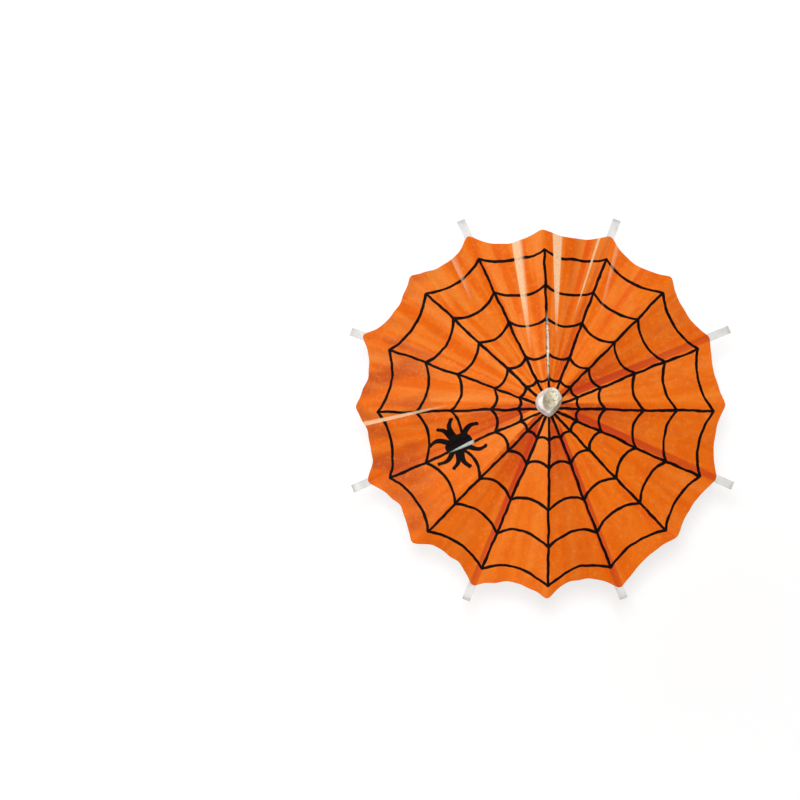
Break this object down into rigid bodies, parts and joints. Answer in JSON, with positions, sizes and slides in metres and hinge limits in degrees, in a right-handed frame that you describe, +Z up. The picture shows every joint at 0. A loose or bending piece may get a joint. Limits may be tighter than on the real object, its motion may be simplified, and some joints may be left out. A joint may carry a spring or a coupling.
{
  "type": "cocktail umbrella pick",
  "caption": "Paper parasol on a pointed wooden pick, with a pleated web-printed canopy on card ribs that folds down along the pick as its runner slides.",
  "frame": {"origin": "tip of the pick's point, on the pick's axis", "axes": "+Z up along the pick towards the bead; ribs at 22.5 degrees from +X and every 45 degrees"},
  "size_m": [0.0958, 0.0958, 0.0991],
  "materials": {
    "pick_wood": "matte",
    "bead_wood": "matte",
    "notched_wood": "matte",
    "rib_card": "matte",
    "thread": "matte",
    "orange_paper": "satin",
    "rolled_paper": "matte",
    "ring_plastic": "gloss"
  },
  "bodies": {
    "stem": {"stem": "pick_wood", "cap": "bead_wood", "canopy_crown": "orange_paper", "top_hub": "notched_wood", "hub_thread": "thread"},
    "rib_1": {"rib_1": "rib_card", "rib_thread_1": "thread"},
    "stretcher_1": {"stretcher_1": "rib_card"},
    "paper_panel_1_left": {"paper_panel_1_left": "orange_paper"},
    "paper_panel_1_right": {"paper_panel_1_right": "orange_paper"},
    "runner": {"runner": "notched_wood", "runner_thread": "thread", "paper_sleeve": "rolled_paper"},
    "retaining_ring": {"retaining_ring": "ring_plastic"},
    "rib_2": {"rib_2": "rib_card", "rib_thread_2": "thread"},
    "stretcher_2": {"stretcher_2": "rib_card"},
    "paper_panel_2_left": {"paper_panel_2_left": "orange_paper"},
    "paper_panel_2_right": {"paper_panel_2_right": "orange_paper"},
    "rib_3": {"rib_3": "rib_card", "rib_thread_3": "thread"},
    "stretcher_3": {"stretcher_3": "rib_card"},
    "paper_panel_3_left": {"paper_panel_3_left": "orange_paper"},
    "paper_panel_3_right": {"paper_panel_3_right": "orange_paper"},
    "rib_4": {"rib_4": "rib_card", "rib_thread_4": "thread"},
    "stretcher_4": {"stretcher_4": "rib_card"},
    "paper_panel_4_left": {"paper_panel_4_left": "orange_paper"},
    "paper_panel_4_right": {"paper_panel_4_right": "orange_paper"},
    "rib_5": {"rib_5": "rib_card", "rib_thread_5": "thread"},
    "stretcher_5": {"stretcher_5": "rib_card"},
    "paper_panel_5_left": {"paper_panel_5_left": "orange_paper"},
    "paper_panel_5_right": {"paper_panel_5_right": "orange_paper"},
    "rib_6": {"rib_6": "rib_card", "rib_thread_6": "thread"},
    "stretcher_6": {"stretcher_6": "rib_card"},
    "paper_panel_6_left": {"paper_panel_6_left": "orange_paper"},
    "paper_panel_6_right": {"paper_panel_6_right": "orange_paper"},
    "rib_7": {"rib_7": "rib_card", "rib_thread_7": "thread"},
    "stretcher_7": {"stretcher_7": "rib_card"},
    "paper_panel_7_left": {"paper_panel_7_left": "orange_paper"},
    "paper_panel_7_right": {"paper_panel_7_right": "orange_paper"},
    "rib_8": {"rib_8": "rib_card", "rib_thread_8": "thread"},
    "stretcher_8": {"stretcher_8": "rib_card"},
    "paper_panel_8_left": {"paper_panel_8_left": "orange_paper"},
    "paper_panel_8_right": {"paper_panel_8_right": "orange_paper"}
  },
  "joints": [
    {"name": "canopy_fold", "type": "hinge", "parent": "stem", "child": "rib_1", "pos_m": [0.00185, 0.00077, 0.093], "axis": [-0.3827, 0.9239, 0], "range_deg": [0, 66]},
    {"name": "stretcher_1_fold", "type": "hinge", "parent": "rib_1", "child": "stretcher_1", "pos_m": [0.01932, 0.008, 0.08644], "axis": [-0.3827, 0.9239, 0], "range_deg": [-132, 0]},
    {"name": "crease_1_left", "type": "hinge", "parent": "rib_1", "child": "paper_panel_1_left", "pos_m": [0, 0, 0.09396], "axis": [0.8835, 0.366, -0.2924], "range_deg": [0, 48.58]},
    {"name": "crease_1_right", "type": "hinge", "parent": "rib_1", "child": "paper_panel_1_right", "pos_m": [0, 0, 0.09396], "axis": [-0.8835, -0.366, 0.2924], "range_deg": [0, 48.58]},
    {"name": "runner_travel", "type": "hinge", "parent": "stretcher_1", "child": "runner", "pos_m": [0.00185, 0.00077, 0.07987], "axis": [-0.3827, 0.9239, 0], "range_deg": [0, 66]},
    {"name": "ring_slide", "type": "slide", "parent": "runner", "child": "retaining_ring", "axis": [0, 0, -1], "range_m": [0, 0.015]},
    {"name": "rib_2_fold", "type": "hinge", "parent": "stem", "child": "rib_2", "pos_m": [0.00077, 0.00185, 0.093], "axis": [-0.9239, 0.3827, 0], "range_deg": [0, 66]},
    {"name": "stretcher_2_fold", "type": "hinge", "parent": "rib_2", "child": "stretcher_2", "pos_m": [0.008, 0.01932, 0.08644], "axis": [-0.9239, 0.3827, 0], "range_deg": [-132, 0]},
    {"name": "crease_2_left", "type": "hinge", "parent": "rib_2", "child": "paper_panel_2_left", "pos_m": [0, 0, 0.09396], "axis": [0.366, 0.8835, -0.2924], "range_deg": [0, 48.58]},
    {"name": "crease_2_right", "type": "hinge", "parent": "rib_2", "child": "paper_panel_2_right", "pos_m": [0, 0, 0.09396], "axis": [-0.366, -0.8835, 0.2924], "range_deg": [0, 48.58]},
    {"name": "rib_3_fold", "type": "hinge", "parent": "stem", "child": "rib_3", "pos_m": [-0.00077, 0.00185, 0.093], "axis": [-0.9239, -0.3827, 0], "range_deg": [0, 66]},
    {"name": "stretcher_3_fold", "type": "hinge", "parent": "rib_3", "child": "stretcher_3", "pos_m": [-0.008, 0.01932, 0.08644], "axis": [-0.9239, -0.3827, 0], "range_deg": [-132, 0]},
    {"name": "crease_3_left", "type": "hinge", "parent": "rib_3", "child": "paper_panel_3_left", "pos_m": [0, 0, 0.09396], "axis": [-0.366, 0.8835, -0.2924], "range_deg": [0, 48.58]},
    {"name": "crease_3_right", "type": "hinge", "parent": "rib_3", "child": "paper_panel_3_right", "pos_m": [0, 0, 0.09396], "axis": [0.366, -0.8835, 0.2924], "range_deg": [0, 48.58]},
    {"name": "rib_4_fold", "type": "hinge", "parent": "stem", "child": "rib_4", "pos_m": [-0.00185, 0.00077, 0.093], "axis": [-0.3827, -0.9239, 0], "range_deg": [0, 66]},
    {"name": "stretcher_4_fold", "type": "hinge", "parent": "rib_4", "child": "stretcher_4", "pos_m": [-0.01932, 0.008, 0.08644], "axis": [-0.3827, -0.9239, 0], "range_deg": [-132, 0]},
    {"name": "crease_4_left", "type": "hinge", "parent": "rib_4", "child": "paper_panel_4_left", "pos_m": [0, 0, 0.09396], "axis": [-0.8835, 0.366, -0.2924], "range_deg": [0, 48.58]},
    {"name": "crease_4_right", "type": "hinge", "parent": "rib_4", "child": "paper_panel_4_right", "pos_m": [0, 0, 0.09396], "axis": [0.8835, -0.366, 0.2924], "range_deg": [0, 48.58]},
    {"name": "rib_5_fold", "type": "hinge", "parent": "stem", "child": "rib_5", "pos_m": [-0.00185, -0.00077, 0.093], "axis": [0.3827, -0.9239, 0], "range_deg": [0, 66]},
    {"name": "stretcher_5_fold", "type": "hinge", "parent": "rib_5", "child": "stretcher_5", "pos_m": [-0.01932, -0.008, 0.08644], "axis": [0.3827, -0.9239, 0], "range_deg": [-132, 0]},
    {"name": "crease_5_left", "type": "hinge", "parent": "rib_5", "child": "paper_panel_5_left", "pos_m": [0, 0, 0.09396], "axis": [-0.8835, -0.366, -0.2924], "range_deg": [0, 48.58]},
    {"name": "crease_5_right", "type": "hinge", "parent": "rib_5", "child": "paper_panel_5_right", "pos_m": [0, 0, 0.09396], "axis": [0.8835, 0.366, 0.2924], "range_deg": [0, 48.58]},
    {"name": "rib_6_fold", "type": "hinge", "parent": "stem", "child": "rib_6", "pos_m": [-0.00077, -0.00185, 0.093], "axis": [0.9239, -0.3827, 0], "range_deg": [0, 66]},
    {"name": "stretcher_6_fold", "type": "hinge", "parent": "rib_6", "child": "stretcher_6", "pos_m": [-0.008, -0.01932, 0.08644], "axis": [0.9239, -0.3827, 0], "range_deg": [-132, 0]},
    {"name": "crease_6_left", "type": "hinge", "parent": "rib_6", "child": "paper_panel_6_left", "pos_m": [0, 0, 0.09396], "axis": [-0.366, -0.8835, -0.2924], "range_deg": [0, 48.58]},
    {"name": "crease_6_right", "type": "hinge", "parent": "rib_6", "child": "paper_panel_6_right", "pos_m": [0, 0, 0.09396], "axis": [0.366, 0.8835, 0.2924], "range_deg": [0, 48.58]},
    {"name": "rib_7_fold", "type": "hinge", "parent": "stem", "child": "rib_7", "pos_m": [0.00077, -0.00185, 0.093], "axis": [0.9239, 0.3827, 0], "range_deg": [0, 66]},
    {"name": "stretcher_7_fold", "type": "hinge", "parent": "rib_7", "child": "stretcher_7", "pos_m": [0.008, -0.01932, 0.08644], "axis": [0.9239, 0.3827, 0], "range_deg": [-132, 0]},
    {"name": "crease_7_left", "type": "hinge", "parent": "rib_7", "child": "paper_panel_7_left", "pos_m": [0, 0, 0.09396], "axis": [0.366, -0.8835, -0.2924], "range_deg": [0, 48.58]},
    {"name": "crease_7_right", "type": "hinge", "parent": "rib_7", "child": "paper_panel_7_right", "pos_m": [0, 0, 0.09396], "axis": [-0.366, 0.8835, 0.2924], "range_deg": [0, 48.58]},
    {"name": "rib_8_fold", "type": "hinge", "parent": "stem", "child": "rib_8", "pos_m": [0.00185, -0.00077, 0.093], "axis": [0.3827, 0.9239, 0], "range_deg": [0, 66]},
    {"name": "stretcher_8_fold", "type": "hinge", "parent": "rib_8", "child": "stretcher_8", "pos_m": [0.01932, -0.008, 0.08644], "axis": [0.3827, 0.9239, 0], "range_deg": [-132, 0]},
    {"name": "crease_8_left", "type": "hinge", "parent": "rib_8", "child": "paper_panel_8_left", "pos_m": [0, 0, 0.09396], "axis": [0.8835, -0.366, -0.2924], "range_deg": [0, 48.58]},
    {"name": "crease_8_right", "type": "hinge", "parent": "rib_8", "child": "paper_panel_8_right", "pos_m": [0, 0, 0.09396], "axis": [-0.8835, 0.366, 0.2924], "range_deg": [0, 48.58]}
  ],
  "couplings": [
    {"joint": "stretcher_1_fold", "follows": "canopy_fold", "ratio": -2},
    {"joint": "crease_1_left", "follows": "canopy_fold", "ratio": 0.736},
    {"joint": "crease_1_right", "follows": "canopy_fold", "ratio": 0.736},
    {"joint": "runner_travel", "follows": "canopy_fold", "ratio": 1},
    {"joint": "rib_2_fold", "follows": "canopy_fold", "ratio": 1},
    {"joint": "stretcher_2_fold", "follows": "canopy_fold", "ratio": -2},
    {"joint": "crease_2_left", "follows": "canopy_fold", "ratio": 0.736},
    {"joint": "crease_2_right", "follows": "canopy_fold", "ratio": 0.736},
    {"joint": "rib_3_fold", "follows": "canopy_fold", "ratio": 1},
    {"joint": "stretcher_3_fold", "follows": "canopy_fold", "ratio": -2},
    {"joint": "crease_3_left", "follows": "canopy_fold", "ratio": 0.736},
    {"joint": "crease_3_right", "follows": "canopy_fold", "ratio": 0.736},
    {"joint": "rib_4_fold", "follows": "canopy_fold", "ratio": 1},
    {"joint": "stretcher_4_fold", "follows": "canopy_fold", "ratio": -2},
    {"joint": "crease_4_left", "follows": "canopy_fold", "ratio": 0.736},
    {"joint": "crease_4_right", "follows": "canopy_fold", "ratio": 0.736},
    {"joint": "rib_5_fold", "follows": "canopy_fold", "ratio": 1},
    {"joint": "stretcher_5_fold", "follows": "canopy_fold", "ratio": -2},
    {"joint": "crease_5_left", "follows": "canopy_fold", "ratio": 0.736},
    {"joint": "crease_5_right", "follows": "canopy_fold", "ratio": 0.736},
    {"joint": "rib_6_fold", "follows": "canopy_fold", "ratio": 1},
    {"joint": "stretcher_6_fold", "follows": "canopy_fold", "ratio": -2},
    {"joint": "crease_6_left", "follows": "canopy_fold", "ratio": 0.736},
    {"joint": "crease_6_right", "follows": "canopy_fold", "ratio": 0.736},
    {"joint": "rib_7_fold", "follows": "canopy_fold", "ratio": 1},
    {"joint": "stretcher_7_fold", "follows": "canopy_fold", "ratio": -2},
    {"joint": "crease_7_left", "follows": "canopy_fold", "ratio": 0.736},
    {"joint": "crease_7_right", "follows": "canopy_fold", "ratio": 0.736},
    {"joint": "rib_8_fold", "follows": "canopy_fold", "ratio": 1},
    {"joint": "stretcher_8_fold", "follows": "canopy_fold", "ratio": -2},
    {"joint": "crease_8_left", "follows": "canopy_fold", "ratio": 0.736},
    {"joint": "crease_8_right", "follows": "canopy_fold", "ratio": 0.736}
  ]
}
